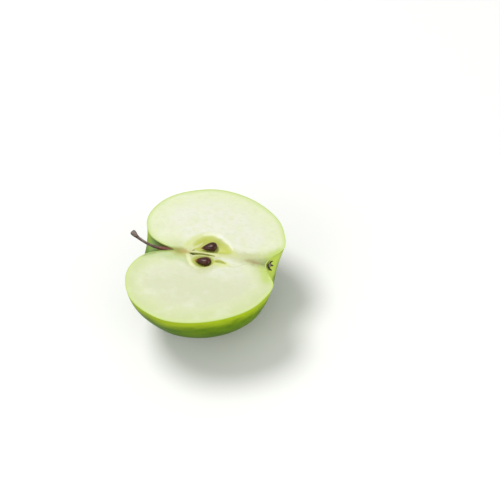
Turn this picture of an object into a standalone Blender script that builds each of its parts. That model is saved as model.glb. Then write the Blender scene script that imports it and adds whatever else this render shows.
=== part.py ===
# One half of a green apple, cut from stem to calyx, lying on its peel with the cut face up.
#
# Metres, +Z up. The origin is the middle of the small flat spot that the half rests on.
# +X runs along the apple's axis from the stem end to the calyx end, and +Y runs across the
# cut face. Positions on the cut face are given as (along, across), in millimetres from the
# point above the origin, and heights are measured from the cut face.

from math import atan2, cos, hypot, pi, sin, sqrt

import bmesh
import bpy
import numpy as np
from mathutils import Vector

MM = 0.001

# Driving dimensions of the half, in millimetres.
CUT_HEIGHT = 37.5  # from the resting spot up to the cut face
HALF_DEPTH = 38.1  # from the cut face down to the full round of the underside
STEM_CAVITY_FLOOR = (-15.2, 0.0)
SHOULDER_CREST = (-33.2, 17.9)
EQUATOR = (-3.4, 39.9)
CALYX_CREST = (36.4, 11.6)
CALYX_FLOOR = (30.1, 0.0)

# Half of the outline of the cut face, as (along, out from the axis), stem end first.
SECTION = (
    STEM_CAVITY_FLOOR,
    (-18.6, 1.0),
    (-26.3, 4.2),
    (-31.1, 9.2),
    SHOULDER_CREST,
    (-27.3, 30.4),
    (-15.5, 37.5),
    EQUATOR,
    (15.2, 35.8),
    (29.2, 26.7),
    (33.9, 19.8),
    CALYX_CREST,
    (34.3, 7.5),
    (31.5, 3.6),
    CALYX_FLOOR,
)

# How far this apple is from a turned shape, in millimetres.
SHOULDER_LEAN = 0.6  # the far shoulder stands out, the near one is set back
CALYX_LEAN = 0.4  # the same at the calyx end, the other way round
LOW_SHOULDER = 0.5  # the shoulder under the stem stands out further
LOW_CALYX = 3.1  # the rim under the calyx is set back
BELLY_SHIFT = 3.0  # the deepest point lies this much nearer the calyx than the widest one
RIB_HEIGHT = 0.7  # the five soft ribs that end in the calyx basin
RIBS = 5
LEAN_REACH = 30.0  # distance from the equator where a lean has its full size
RIM_REACH = 12.0  # distance from the axis where the rim has its full size

# The core: the outline of each hollow on the cut face, its depth and its deepest point.
HOLLOWS = {
    "far_locule": {
        "outline": ((-4.6, 1.9), (-6.4, 5.6), (-3.2, 9.9), (2.3, 10.7), (8.0, 8.2), (12.2, 3.3), (5.0, 1.7)),
        "depth": 3.7,
        "deepest": (1.6, 5.2),
    },
    "near_locule": {
        "outline": (
            (-4.6, -3.4),
            (-2.5, -6.6),
            (1.4, -7.7),
            (5.3, -5.8),
            (6.2, -3.1),
            (3.6, -1.3),
            (0.0, -0.95),
            (-3.2, -1.6),
        ),
        "depth": 3.7,
        "deepest": (1.2, -4.1),
    },
    "core_slit": {
        "outline": (
            (-6.9, -0.6),
            (-5.0, 0.0),
            (-2.0, 0.3),
            (1.5, 0.3),
            (5.4, -0.2),
            (1.5, -0.35),
            (-2.0, -0.5),
            (-4.8, -1.1),
        ),
        "depth": 2.4,
        "deepest": (-4.6, -0.4),
    },
    "near_streak": {
        "outline": ((6.9, -2.9), (8.8, -2.4), (10.9, -2.8), (8.8, -3.4)),
        "depth": 1.2,
        "deepest": (8.6, -2.9),
    },
    "calyx_tube": {
        "outline": ((24.0, 0.0), (27.5, 1.3), (30.0, 1.7), (33.0, 2.1), (33.0, -2.1), (30.0, -1.7), (27.5, -1.4)),
        "depth": 2.0,
        "deepest": (30.8, 0.0),
    },
}

# The seeds: their two ends, how deep their middle lies, and how slender the tip is.
SEEDS = {
    "seed_far": {"tip": (-2.9, 3.6), "blunt": (4.4, 6.4), "sink": 0.7, "width": 4.7, "thick": 3.5, "taper": 0.85},
    "seed_near": {"tip": (-3.3, -3.8), "blunt": (4.3, -3.2), "sink": 0.7, "width": 4.3, "thick": 3.4, "taper": 0.6},
}

# The stem, as (along, across, height), root first, with its radius at each point.
STEM_PATH = (
    ((-12.4, 0.0, -0.7), 0.3),
    ((-14.0, 0.0, -0.65), 0.6),
    ((-17.0, 0.0, -0.5), 0.85),
    ((-19.5, -0.2, -0.35), 0.85),
    ((-23.5, -0.4, 0.1), 0.72),
    ((-27.5, -0.1, 1.1), 0.65),
    ((-31.0, 0.6, 2.5), 0.65),
    ((-33.6, 1.5, 3.7), 0.85),
    ((-35.1, 2.3, 4.5), 1.2),
    ((-35.9, 2.8, 4.9), 1.3),
)
STEM_SOCKET_GAP = 0.3
STEM_SOCKET_MOUTH = -21.5  # the socket runs from here, in the cavity, to past the root

# The dried calyx: a small button with the sepals that are left round it.
CALYX_BUTTON = (31.1, -0.5)  # along, height
CALYX_BUTTON_RADIUS = 0.8
SEPAL_ANGLES = (-0.05, 1.0, 2.1, 3.2)  # radians from the far side, down round the axis
SEPAL_LENGTH = 3.1
SEPAL_WIDTH = 1.8
SEPAL_THICKNESS = 0.5
SEPAL_CURL = 0.9

# Mesh fineness.
SECTION_STEPS = 60
TURN_STEPS = 48
OUTLINE_STEPS = 30
BOWL_STEPS = 6
CUTTER_TOP = 2.0  # how far the cutters stand out of the cut face
SEED_RINGS = 14
SEED_SIDES = 20
STEM_RINGS = 30
STEM_SIDES = 14
SEPAL_RINGS = 8


def smooth_curve(points, count, closed=False):
    """Evenly spaced points on the natural cubic spline that passes through the given ones."""
    points = np.array(points, float)
    wrap = 3 if closed else 0
    if closed:
        points = np.concatenate([points[-wrap:], points, points[: wrap + 1]])
    chord = np.linalg.norm(np.diff(points, axis=0), axis=1) ** 0.5
    knots = np.concatenate([[0.0], np.cumsum(chord)])
    slope = np.diff(points, axis=0) / chord[:, None]
    system = np.zeros((len(points), len(points)))
    right = np.zeros_like(points)
    system[0, 0] = system[-1, -1] = 1.0
    for i in range(1, len(points) - 1):
        system[i, i - 1 : i + 2] = chord[i - 1], 2 * (chord[i - 1] + chord[i]), chord[i]
        right[i] = 6 * (slope[i] - slope[i - 1])
    bend = np.linalg.solve(system, right)

    fine = []
    for i in range(wrap, len(points) - 1 - wrap):
        for t in np.linspace(0.0, chord[i], 40, endpoint=False):
            back = chord[i] - t
            fine.append(
                (bend[i] * back**3 + bend[i + 1] * t**3) / (6 * chord[i])
                + (points[i] / chord[i] - bend[i] * chord[i] / 6) * back
                + (points[i + 1] / chord[i] - bend[i + 1] * chord[i] / 6) * t
            )
    fine.append(points[len(points) - 1 - wrap])
    fine = np.array(fine)
    reach = np.concatenate([[0.0], np.cumsum(np.linalg.norm(np.diff(fine, axis=0), axis=1))])
    stops = np.linspace(0.0, reach[-1], count, endpoint=not closed)
    return [Vector(np.array([np.interp(s, reach, column) for column in fine.T])) for s in stops]


def place(along, across, height):
    """A point given from the middle of the cut face, in millimetres, as a place in metres."""
    return Vector((along, across, height + CUT_HEIGHT)) * MM


def material(name, colour, roughness, metallic=0.0):
    """A Principled material in one colour."""
    made = bpy.data.materials.new(name)
    made.use_nodes = True
    shader = made.node_tree.nodes["Principled BSDF"]
    shader.inputs["Base Color"].default_value = (*colour, 1.0)
    shader.inputs["Roughness"].default_value = roughness
    shader.inputs["Metallic"].default_value = metallic
    return made


def add_object(name, bm, finishes=(), helper=False):
    """Turns a bmesh into an object of the scene. A helper is drawn as wire and isn't a part."""
    bmesh.ops.recalc_face_normals(bm, faces=bm.faces)
    mesh = bpy.data.meshes.new(name)
    bm.to_mesh(mesh)
    bm.free()
    made = bpy.data.objects.new(name, mesh)
    bpy.context.scene.collection.objects.link(made)
    for finish in finishes:
        mesh.materials.append(finish)
    if helper:
        made.hide_render = True
        made.display_type = "WIRE"
    else:
        mesh.shade_smooth()
        mesh.set_sharp_from_angle(angle=pi / 5)
    return made


def combine(target, other, operation):
    """A Boolean with a helper object, kept as a modifier."""
    modifier = target.modifiers.new(other.name, "BOOLEAN")
    modifier.operation = operation
    modifier.object = other


def skin_rings(bm, rings):
    """Joins rings of points into a closed skin. A ring of one point is a pole."""
    made = [[bm.verts.new(point) for point in ring] for ring in rings]
    for first, second in zip(made, made[1:]):
        sides = max(len(first), len(second))
        for i in range(sides):
            corners = [first[i % len(first)], first[(i + 1) % len(first)]]
            corners += [second[(i + 1) % len(second)], second[i % len(second)]]
            bm.faces.new(list(dict.fromkeys(corners)))


def eased(share):
    """0 to 1 with a soft start and end."""
    share = min(max(share, 0.0), 1.0)
    return share * share * (3 - 2 * share)


def lopsided(point):
    """Moves a point of the turned apple to where it is on this one. All in millimetres."""
    along, across, height = point
    out = hypot(across, height)
    if out < 1e-6:
        return Vector(point)
    far, low = across / out, -height / out
    turn = atan2(low, far)
    belly = BELLY_SHIFT * (low * out / EQUATOR[1]) ** 2
    stem_end = (max(-along, 0.0) / LEAN_REACH) ** 2
    calyx_end = (max(along, 0.0) / LEAN_REACH) ** 2
    rim = eased(out / RIM_REACH)
    lean = 2 * out / EQUATOR[1] * far
    along -= (SHOULDER_LEAN * stem_end + CALYX_LEAN * calyx_end) * lean
    along += belly - (LOW_SHOULDER * stem_end + LOW_CALYX * calyx_end) * low * rim
    out += RIB_HEIGHT * sin(RIBS * turn) * calyx_end * rim
    return Vector((along, out * far, -out * low * HALF_DEPTH / EQUATOR[1]))


def apple_half(flesh):
    """The flesh with its peel, one solid: the section turned half round and filled."""
    bm = bmesh.new()
    section = smooth_curve(SECTION, SECTION_STEPS)
    verts = [bm.verts.new((along, out, 0.0)) for along, out in section]
    edges = [bm.edges.new(pair) for pair in zip(verts, verts[1:])]
    bmesh.ops.spin(bm, geom=verts + edges, cent=(0, 0, 0), axis=(1, 0, 0), angle=-pi, steps=TURN_STEPS)
    bmesh.ops.remove_doubles(bm, verts=bm.verts, dist=0.001)
    for vert in bm.verts:
        vert.co = lopsided(vert.co)
    bmesh.ops.contextual_create(bm, geom=[edge for edge in bm.edges if edge.is_boundary])
    for vert in bm.verts:
        vert.co = place(*vert.co)
    geometry = bm.verts[:] + bm.edges[:] + bm.faces[:]
    cut = bmesh.ops.bisect_plane(bm, geom=geometry, plane_co=(0, 0, 0), plane_no=(0, 0, -1), clear_outer=True)
    bmesh.ops.contextual_create(bm, geom=[e for e in cut["geom_cut"] if isinstance(e, bmesh.types.BMEdge)])
    return add_object("apple_half", bm, [flesh])


def bowl_cutter(name, outline, depth, deepest):
    """A helper that cuts a hollow with this outline on the cut face and a rounded floor."""
    rim = smooth_curve(outline, OUTLINE_STEPS, closed=True)
    middle = Vector(deepest)
    rings = [[place(*deepest, CUTTER_TOP)], [place(*point, CUTTER_TOP) for point in rim]]
    rings.append([place(*point, 0.1) for point in rim])
    for step in range(1, BOWL_STEPS):
        angle = pi / 2 * step / BOWL_STEPS
        share, down = cos(angle) ** 0.8, depth * sin(angle)
        rings.append([place(*(middle + (point - middle) * share), -down) for point in rim])
    rings.append([place(*deepest, -depth)])
    bm = bmesh.new()
    skin_rings(bm, rings)
    return add_object(name, bm, helper=True)


def seed(name, shape, finish):
    """An apple seed: pointed at one end, round at the other, and a little flat."""
    tip, blunt = (Vector((*shape[end], -shape["sink"])) for end in ("tip", "blunt"))
    ahead = (blunt - tip).normalized()
    side = Vector((-ahead.y, ahead.x, 0.0))
    shares = [(1 - cos(pi * ring / SEED_RINGS)) / 2 for ring in range(SEED_RINGS + 1)]
    girths = [share ** shape["taper"] * sqrt(max(1 - share**3.2, 0.0)) for share in shares]
    rings = []
    for share, girth in zip(shares, girths):
        centre = tip.lerp(blunt, share)
        points = []
        for corner in range(SEED_SIDES):
            angle = 2 * pi * corner / SEED_SIDES
            offset = side * cos(angle) * shape["width"] / 2
            offset += Vector((0.0, 0.0, sin(angle) * shape["thick"] / 2))
            points.append(place(*(centre + offset * girth / max(girths))))
        rings.append(points)
    rings[0], rings[-1] = [place(*tip)], [place(*blunt)]
    bm = bmesh.new()
    skin_rings(bm, rings)
    return add_object(name, bm, [finish])


def tube_rings(path, radii, sides):
    """Rings of points round a path, each square to it."""
    rings = []
    for i, centre in enumerate(path):
        ahead = (path[min(i + 1, len(path) - 1)] - path[max(i - 1, 0)]).normalized()
        side = ahead.cross(Vector((0, 0, 1))).normalized()
        up = side.cross(ahead)
        ring = []
        for corner in range(sides):
            angle = 2 * pi * corner / sides
            ring.append(place(*(centre + (side * cos(angle) + up * sin(angle)) * radii[i])))
        rings.append(ring)
    return rings


def stem(bark):
    """The woody stem, thinnest in the middle, with a knob where it came off the spur."""
    knots = smooth_curve([(*point, radius) for point, radius in STEM_PATH], STEM_RINGS)
    path = [Vector(knot[:3]) for knot in knots]
    radii = [knot[3] for knot in knots]
    rings = tube_rings(path, radii, STEM_SIDES)
    hollow = path[-1] - (path[-1] - path[-2]).normalized() * 0.35
    rings = [[place(*path[0])], *rings, [place(*hollow)]]
    bm = bmesh.new()
    skin_rings(bm, rings)
    return add_object("stem", bm, [bark])


def stem_socket():
    """A helper that makes room in the flesh for the stem's root."""
    knots = smooth_curve([(*point, radius) for point, radius in STEM_PATH], STEM_RINGS)
    knots = [knot for knot in knots if knot[0] > STEM_SOCKET_MOUTH]
    root = Vector(knots[0][:3]) + Vector((STEM_SOCKET_GAP, 0.0, 0.0))
    path = [root] + [Vector(knot[:3]) for knot in knots]
    radii = [knots[0][3]] + [knot[3] + STEM_SOCKET_GAP for knot in knots]
    rings = tube_rings(path, radii, STEM_SIDES)
    rings = [[place(*path[0])], *rings, [place(*path[-1])]]
    bm = bmesh.new()
    skin_rings(bm, rings)
    return add_object("stem_socket", bm, helper=True)


def sepal(name, turn):
    """A helper: one dried sepal, a small pointed leaf that curls out of the basin."""
    outward = Vector((0.0, cos(turn), -sin(turn)))
    across = Vector((0.0, sin(turn), cos(turn)))
    ahead = Vector((1.0, 0.0, 0.0))
    base = Vector((CALYX_BUTTON[0], 0.0, CALYX_BUTTON[1]))
    rings = []
    for ring in range(SEPAL_RINGS + 1):
        share = ring / SEPAL_RINGS
        centre = base + outward * SEPAL_LENGTH * share + ahead * SEPAL_CURL * share**2
        half_width = SEPAL_WIDTH / 2 * sqrt(1 - share**2) + 0.05
        half_thick = SEPAL_THICKNESS / 2 * (1 - 0.5 * share)
        corners = ((1, 0), (0.5, 1), (-0.5, 1), (-1, 0), (-0.5, -1), (0.5, -1))
        points = [centre + across * x * half_width + ahead * y * half_thick for x, y in corners]
        rings.append([place(*point) for point in points])
    rings = [[place(*base)], *rings, [place(*(centre + outward * 0.2))]]
    bm = bmesh.new()
    skin_rings(bm, rings)
    return add_object(name, bm, helper=True)


def calyx(dry):
    """The dried calyx in its basin: a small button with the sepals that are left."""
    bm = bmesh.new()
    bmesh.ops.create_uvsphere(bm, u_segments=14, v_segments=8, radius=CALYX_BUTTON_RADIUS * MM)
    bmesh.ops.translate(bm, verts=bm.verts, vec=place(CALYX_BUTTON[0], 0.0, CALYX_BUTTON[1]))
    made = add_object("calyx", bm, [dry])
    for number, turn in enumerate(SEPAL_ANGLES, 1):
        combine(made, sepal(f"sepal_{number}", turn), "UNION")
    return made


def main():
    for old in list(bpy.data.objects):
        bpy.data.objects.remove(old)
    flesh = material("apple_flesh", (0.80, 0.83, 0.55), 0.45)
    bark = material("stem_bark", (0.13, 0.06, 0.035), 0.75)
    seed_coat = material("seed_coat", (0.10, 0.025, 0.018), 0.3)
    dry = material("dried_calyx", (0.10, 0.07, 0.035), 0.85)

    half = apple_half(flesh)
    for name, hollow in HOLLOWS.items():
        combine(half, bowl_cutter(name, **hollow), "DIFFERENCE")
    combine(half, stem_socket(), "DIFFERENCE")
    for name, shape in SEEDS.items():
        seed(name, shape, seed_coat)
    stem(bark)
    calyx(dry)


main()
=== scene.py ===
import math

import bmesh
import bpy
import numpy as np
from mathutils import Matrix, Vector, noise


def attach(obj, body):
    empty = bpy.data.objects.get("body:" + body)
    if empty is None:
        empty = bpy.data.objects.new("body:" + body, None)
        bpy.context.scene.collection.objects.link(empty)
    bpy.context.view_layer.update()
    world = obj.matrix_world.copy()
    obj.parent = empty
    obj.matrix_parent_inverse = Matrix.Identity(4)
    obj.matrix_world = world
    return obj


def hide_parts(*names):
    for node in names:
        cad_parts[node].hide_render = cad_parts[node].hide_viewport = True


# Apple half, cut face up. Lengths are in millimetres here and become metres in the meshes.
# A place on the cut face is (along the core from stem to calyx, across it), heights count from the cut face.
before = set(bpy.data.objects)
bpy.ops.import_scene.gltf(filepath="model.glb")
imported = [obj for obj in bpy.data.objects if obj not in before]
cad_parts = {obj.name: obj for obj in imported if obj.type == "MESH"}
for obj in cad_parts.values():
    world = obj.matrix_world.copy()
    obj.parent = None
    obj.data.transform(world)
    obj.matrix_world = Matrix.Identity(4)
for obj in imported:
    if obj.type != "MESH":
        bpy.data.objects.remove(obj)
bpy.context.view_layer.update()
mm = 0.001
tiny = 1e-6  # closer than this is touching
cutHeight = 37.5
print("stage: frame loaded, nodes", sorted(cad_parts))


def pick(piece):
    bpy.ops.object.select_all(action="DESELECT")
    piece.select_set(True)
    bpy.context.view_layer.objects.active = piece


def fresh(name):
    piece = bpy.context.object
    piece.name = piece.data.name = name
    return piece


def edit(piece, mode="VERT"):
    pick(piece)
    bpy.ops.object.mode_set(mode="EDIT")
    bpy.ops.mesh.select_mode(type=mode)
    bpy.ops.mesh.select_all(action="DESELECT")
    return bmesh.from_edit_mesh(piece.data)


def leave(piece):
    bpy.ops.object.mode_set(mode="OBJECT")
    piece.data.update()


def choose(piece, bm, test):
    for part in (bm.verts, bm.edges, bm.faces):
        part.ensure_lookup_table()
    for vert in bm.verts:
        vert.select = test(vert.co)
    bm.select_flush_mode()
    bmesh.update_edit_mesh(piece.data)


def getPoints(piece):
    points = np.zeros(len(piece.data.vertices) * 3)
    piece.data.vertices.foreach_get("co", points)
    return points.reshape(-1, 3)


def setPoints(piece, points):
    piece.data.vertices.foreach_set("co", np.ascontiguousarray(points, dtype=np.float64).ravel())
    piece.data.update()


def getNormals(piece):
    normals = np.zeros(len(piece.data.vertices) * 3, np.float32)
    piece.data.vertices.foreach_get("normal", normals)
    return normals.reshape(-1, 3).astype(float)


def applyAll(piece):
    pick(piece)
    for modifier in list(piece.modifiers):
        bpy.ops.object.modifier_apply(modifier=modifier.name)


def tidyMesh(piece, mergeDistance=0.002):
    edit(piece)
    bpy.ops.mesh.select_all(action="SELECT")
    bpy.ops.mesh.remove_doubles(threshold=mergeDistance)
    bpy.ops.mesh.dissolve_degenerate(threshold=0.0001)
    bpy.ops.mesh.select_all(action="SELECT")
    bpy.ops.mesh.normals_make_consistent(inside=False)
    leave(piece)


def intoPlace(piece):  # from millimetres on the cut face to metres above the floor
    points = getPoints(piece)
    points[:, 2] += cutHeight
    setPoints(piece, points * mm)


def smoothCurve(points, count, closed=False):  # evenly spaced points on the spline through the given ones
    points = np.array(points, float)
    wrap = 3 if closed else 0
    if closed:
        points = np.concatenate([points[-wrap:], points, points[: wrap + 1]])
    chord = np.linalg.norm(np.diff(points, axis=0), axis=1) ** 0.5
    slope = np.diff(points, axis=0) / chord[:, None]
    system = np.zeros((len(points), len(points)))
    right = np.zeros_like(points)
    system[0, 0] = system[-1, -1] = 1.0
    for i in range(1, len(points) - 1):
        system[i, i - 1 : i + 2] = chord[i - 1], 2 * (chord[i - 1] + chord[i]), chord[i]
        right[i] = 6 * (slope[i] - slope[i - 1])
    bend = np.linalg.solve(system, right)
    fine = []
    for i in range(wrap, len(points) - 1 - wrap):
        for t in np.linspace(0.0, chord[i], 40, endpoint=False):
            back = chord[i] - t
            fine.append(
                (bend[i] * back**3 + bend[i + 1] * t**3) / (6 * chord[i])
                + (points[i] / chord[i] - bend[i] * chord[i] / 6) * back
                + (points[i + 1] / chord[i] - bend[i + 1] * chord[i] / 6) * t
            )
    fine.append(points[len(points) - 1 - wrap])
    fine = np.array(fine)
    reach = np.concatenate([[0.0], np.cumsum(np.linalg.norm(np.diff(fine, axis=0), axis=1))])
    stops = np.linspace(0.0, reach[-1], count, endpoint=not closed)
    return np.array([[np.interp(s, reach, column) for column in fine.T] for s in stops])


def eased(share):
    share = np.clip(share, 0.0, 1.0)
    return share * share * (3 - 2 * share)


def toPath(points, path):  # distance of each point to a line of points, and where along the line it falls
    path = np.array(path, float)
    best = np.full(len(points), 1e9)
    where = np.zeros(len(points))
    for i in range(len(path) - 1):
        start, way = path[i], path[i + 1] - path[i]
        t = np.clip(((points - start) @ way) / max(way @ way, 1e-12), 0.0, 1.0)
        far = np.linalg.norm(points - (start + t[:, None] * way), axis=1)
        closer = far < best
        best[closer] = far[closer]
        where[closer] = (i + t)[closer] / (len(path) - 1)
    return best, where


def inOutline(points, outline):  # distance inside a closed line, negative outside it
    loop = np.vstack([outline, outline[:1]])
    far, _ = toPath(points, loop)
    inside = np.zeros(len(points), bool)
    for a, b in zip(loop, loop[1:]):
        crosses = (a[1] > points[:, 1]) != (b[1] > points[:, 1])
        if abs(b[1] - a[1]) > 1e-12:
            inside ^= crosses & (points[:, 0] < (b[0] - a[0]) * (points[:, 1] - a[1]) / (b[1] - a[1]) + a[0])
    return np.where(inside, far, -far)


def bumpy(points, size, seed):  # soft noise, about -1 to 1
    places = points / size + np.array((seed, 0.0, seed * 0.7))
    return np.array([noise.noise(Vector(place)) for place in places])


def keep(piece, name, values):  # a value for each vertex that the material reads
    attribute = piece.data.attributes.new(name, "FLOAT", "POINT")
    attribute.data.foreach_set("value", np.asarray(values, np.float32))


# The camera keeps the photo's angle to the cut face.
view = {
    "round": 24.0, "above": 50.5, "roll": -10.0,  # degrees
    "distance": 0.55, "aside": (0.02136, 0.00195),  # metres
    "sensor": 36.0, "lens": 85.19,
    "clipEnd": 20.0,
}


def makeCamera():
    turn, lift, roll = (math.radians(view[key]) for key in ("round", "above", "roll"))
    back = Vector((math.sin(turn) * math.cos(lift), -math.cos(turn) * math.cos(lift), math.sin(lift)))
    level = Vector((math.cos(turn), math.sin(turn), 0.0))
    up = back.cross(level)
    level, up = (
        level * math.cos(roll) + up * math.sin(roll),
        up * math.cos(roll) - level * math.sin(roll),
    )
    bpy.ops.object.camera_add()
    camera = fresh("camera")
    right, higher = view["aside"]
    place = Vector((0, 0, cutHeight * mm)) + back * view["distance"] + level * right + up * higher
    camera.matrix_world = Matrix.Translation(place) @ Matrix((level, up, back)).transposed().to_4x4()
    camera.data.sensor_width = view["sensor"]
    camera.data.lens = view["lens"]
    camera.data.clip_end = view["clipEnd"]
    bpy.context.scene.camera = camera


makeCamera()

studio = {  # sizes and places in metres
    "floorSize": 6.0,
    "floorColour": (0.93, 0.93, 0.925),
    "floorRoughness": 0.75,
    "worldColour": (1.0, 1.0, 1.0),
    "worldStrength": 0.50,
    "floorBounce": 0.40,  # how bright the floor is for the light that it throws back up
    "aim": (0.0, 0.0, 0.02),
    "lamps": {  # place, size, watts, colour
        "keyAbove": ((-0.36, 0.16, 1.03), 0.50, 6.8, (1.0, 1.0, 0.98)),
        "frontFill": ((-0.35, -0.75, 0.62), 0.70, 1.5, (1.0, 0.99, 0.97)),
        "calyxFill": ((0.78, -0.20, 0.32), 0.50, 1.8, (0.97, 1.0, 0.88)),
    },
}


def makeStudio():
    bpy.ops.mesh.primitive_plane_add(size=studio["floorSize"], location=(0, 0, 0))
    floor = fresh("floor")
    made = bpy.data.materials.new("floorPaper")
    made.use_nodes = True
    tree = made.node_tree
    shader = tree.nodes["Principled BSDF"]
    shader.inputs["Roughness"].default_value = studio["floorRoughness"]
    path = tree.nodes.new("ShaderNodeLightPath")
    paper = tree.nodes.new("ShaderNodeMix")
    paper.data_type = "RGBA"
    tree.links.new(path.outputs["Is Camera Ray"], paper.inputs[0])
    paper.inputs[6].default_value = (*(share * studio["floorBounce"] for share in studio["floorColour"]), 1.0)
    paper.inputs[7].default_value = (*studio["floorColour"], 1.0)
    tree.links.new(paper.outputs[2], shader.inputs["Base Color"])
    floor.data.materials.append(made)
    for name, (place, size, watts, colour) in studio["lamps"].items():
        bpy.ops.object.light_add(type="AREA", location=place)
        lamp = fresh(name)
        lamp.data.shape = "DISK"
        lamp.data.size = size
        lamp.data.energy = watts
        lamp.data.color = colour
        lamp.rotation_euler = (Vector(studio["aim"]) - Vector(place)).to_track_quat("-Z", "Y").to_euler()
    world = bpy.data.worlds.new("paleStudio")
    bpy.context.scene.world = world
    world.use_nodes = True
    background = world.node_tree.nodes["Background"]
    background.inputs["Color"].default_value = (*studio["worldColour"], 1.0)
    background.inputs["Strength"].default_value = studio["worldStrength"]
    bpy.context.scene.view_settings.view_transform = "Standard"  # the photo's plain, bright colours
    bpy.context.scene.view_settings.look = "None"


makeStudio()
print("stage: camera, floor and lights")


def newMaterial(name, **settings):
    made = bpy.data.materials.new(name)
    made.use_nodes = True
    shader = made.node_tree.nodes["Principled BSDF"]
    for socket, value in settings.items():
        shader.inputs[socket.replace("_", " ")].default_value = value
    return made, made.node_tree, shader


def addNode(tree, kind, **settings):
    node = tree.nodes.new(kind)
    for key, value in settings.items():
        if key.startswith("in_"):
            node.inputs[key[3:].replace("_", " ")].default_value = value
        else:
            setattr(node, key, value)
    return node


def link(tree, source, target):
    tree.links.new(source, target)


def mixColour(tree, factor, under, over):  # each is a socket or a plain value
    node = addNode(tree, "ShaderNodeMix", data_type="RGBA", clamp_factor=True)
    for socket, value in ((node.inputs[0], factor), (node.inputs[6], under), (node.inputs[7], over)):
        if isinstance(value, bpy.types.NodeSocket):
            link(tree, value, socket)
        else:
            socket.default_value = value if isinstance(value, float) else (*value, 1.0)
    return node.outputs[2]


def calculate(tree, operation, a, b=0.0, clamp=False):
    node = addNode(tree, "ShaderNodeMath", operation=operation, use_clamp=clamp)
    for socket, value in zip(node.inputs, (a, b)):
        if isinstance(value, bpy.types.NodeSocket):
            link(tree, value, socket)
        else:
            socket.default_value = value
    return node.outputs[0]


def spread(tree, value, low, high, toLow=0.0, toHigh=1.0):
    node = addNode(tree, "ShaderNodeMapRange", interpolation_type="SMOOTHSTEP")
    link(tree, value, node.inputs["Value"])
    for name, number in (("From Min", low), ("From Max", high), ("To Min", toLow), ("To Max", toHigh)):
        node.inputs[name].default_value = number
    return node.outputs["Result"]


def stored(tree, name):
    return addNode(tree, "ShaderNodeAttribute", attribute_name=name).outputs["Fac"]


def makeMottle():  # soft blotches and a finer grain, used by every finish here
    tree = bpy.data.node_groups.new("mottle", "ShaderNodeTree")
    for name in ("Blotch Size", "Grain Size"):
        tree.interface.new_socket(name, in_out="INPUT", socket_type="NodeSocketFloat")
    tree.interface.new_socket("Stretch", in_out="INPUT", socket_type="NodeSocketVector")
    for name in ("Blotch", "Grain"):
        tree.interface.new_socket(name, in_out="OUTPUT", socket_type="NodeSocketFloat")
    inside, outside = tree.nodes.new("NodeGroupInput"), tree.nodes.new("NodeGroupOutput")
    coordinates = addNode(tree, "ShaderNodeTexCoord")
    stretched = addNode(tree, "ShaderNodeVectorMath", operation="MULTIPLY")
    link(tree, coordinates.outputs["Object"], stretched.inputs[0])
    link(tree, inside.outputs["Stretch"], stretched.inputs[1])
    blotch = addNode(tree, "ShaderNodeTexNoise", in_Detail=3.0, in_Roughness=0.55)
    grain = addNode(tree, "ShaderNodeTexNoise", in_Detail=4.0, in_Roughness=0.65)
    for node, name in ((blotch, "Blotch"), (grain, "Grain")):
        scale = calculate(tree, "DIVIDE", 1.0 / mm, inside.outputs[name + " Size"])
        link(tree, scale, node.inputs["Scale"])
        link(tree, stretched.outputs[0], node.inputs["Vector"])
        link(tree, node.outputs["Fac"], outside.inputs[name])
    return tree


mottleGroup = makeMottle()


def mottle(tree, blotchSize, grainSize, stretch=(1.0, 1.0, 1.0)):  # sizes in millimetres
    node = addNode(tree, "ShaderNodeGroup", node_tree=mottleGroup)
    node.inputs["Blotch Size"].default_value = blotchSize
    node.inputs["Grain Size"].default_value = grainSize
    node.inputs["Stretch"].default_value = stretch
    return node


def centred(tree, value):
    return calculate(tree, "SUBTRACT", value, 0.5)


def addUp(tree, first, *others):
    for other in others:
        first = calculate(tree, "ADD", first, other)
    return first


def tint(tree, under, value, ends, strengths, over):  # one strength at each end of the value's range
    return mixColour(tree, spread(tree, value, *ends, *strengths), under, over)


def makeRaggedLayer():  # one colour over another as far as a distance reaches, with a ragged edge
    tree = bpy.data.node_groups.new("raggedLayer", "ShaderNodeTree")
    for name in ("Under", "Over"):
        tree.interface.new_socket(name, in_out="INPUT", socket_type="NodeSocketColor")
    for name in ("Distance", "Wander", "Raggedness", "Full By", "Gone By", "Strength"):
        tree.interface.new_socket(name, in_out="INPUT", socket_type="NodeSocketFloat")
    tree.interface.new_socket("Colour", in_out="OUTPUT", socket_type="NodeSocketColor")
    inside, outside = tree.nodes.new("NodeGroupInput"), tree.nodes.new("NodeGroupOutput")
    shift = calculate(tree, "MULTIPLY", inside.outputs["Wander"], inside.outputs["Raggedness"])
    mask = addNode(tree, "ShaderNodeMapRange", interpolation_type="SMOOTHSTEP")
    link(tree, addUp(tree, inside.outputs["Distance"], shift), mask.inputs["Value"])
    for name, end in (("Gone By", "From Min"), ("Full By", "From Max"), ("Strength", "To Max")):
        link(tree, inside.outputs[name], mask.inputs[end])
    colour = mixColour(tree, mask.outputs["Result"], inside.outputs["Under"], inside.outputs["Over"])
    link(tree, colour, outside.inputs["Colour"])
    return tree


raggedLayerGroup = makeRaggedLayer()


def addLayers(tree, colour, wander, look, layers):
    for name, full, gone, ragged, strength, key in layers:
        layer = addNode(
            tree, "ShaderNodeGroup", node_tree=raggedLayerGroup, in_Over=(*look[key], 1.0),
            in_Raggedness=ragged, in_Full_By=full, in_Gone_By=gone, in_Strength=strength,
        )
        for source, socket in ((colour, "Under"), (stored(tree, name), "Distance"), (wander, "Wander")):
            link(tree, source, layer.inputs[socket])
        colour = layer.outputs["Colour"]
    return colour


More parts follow.
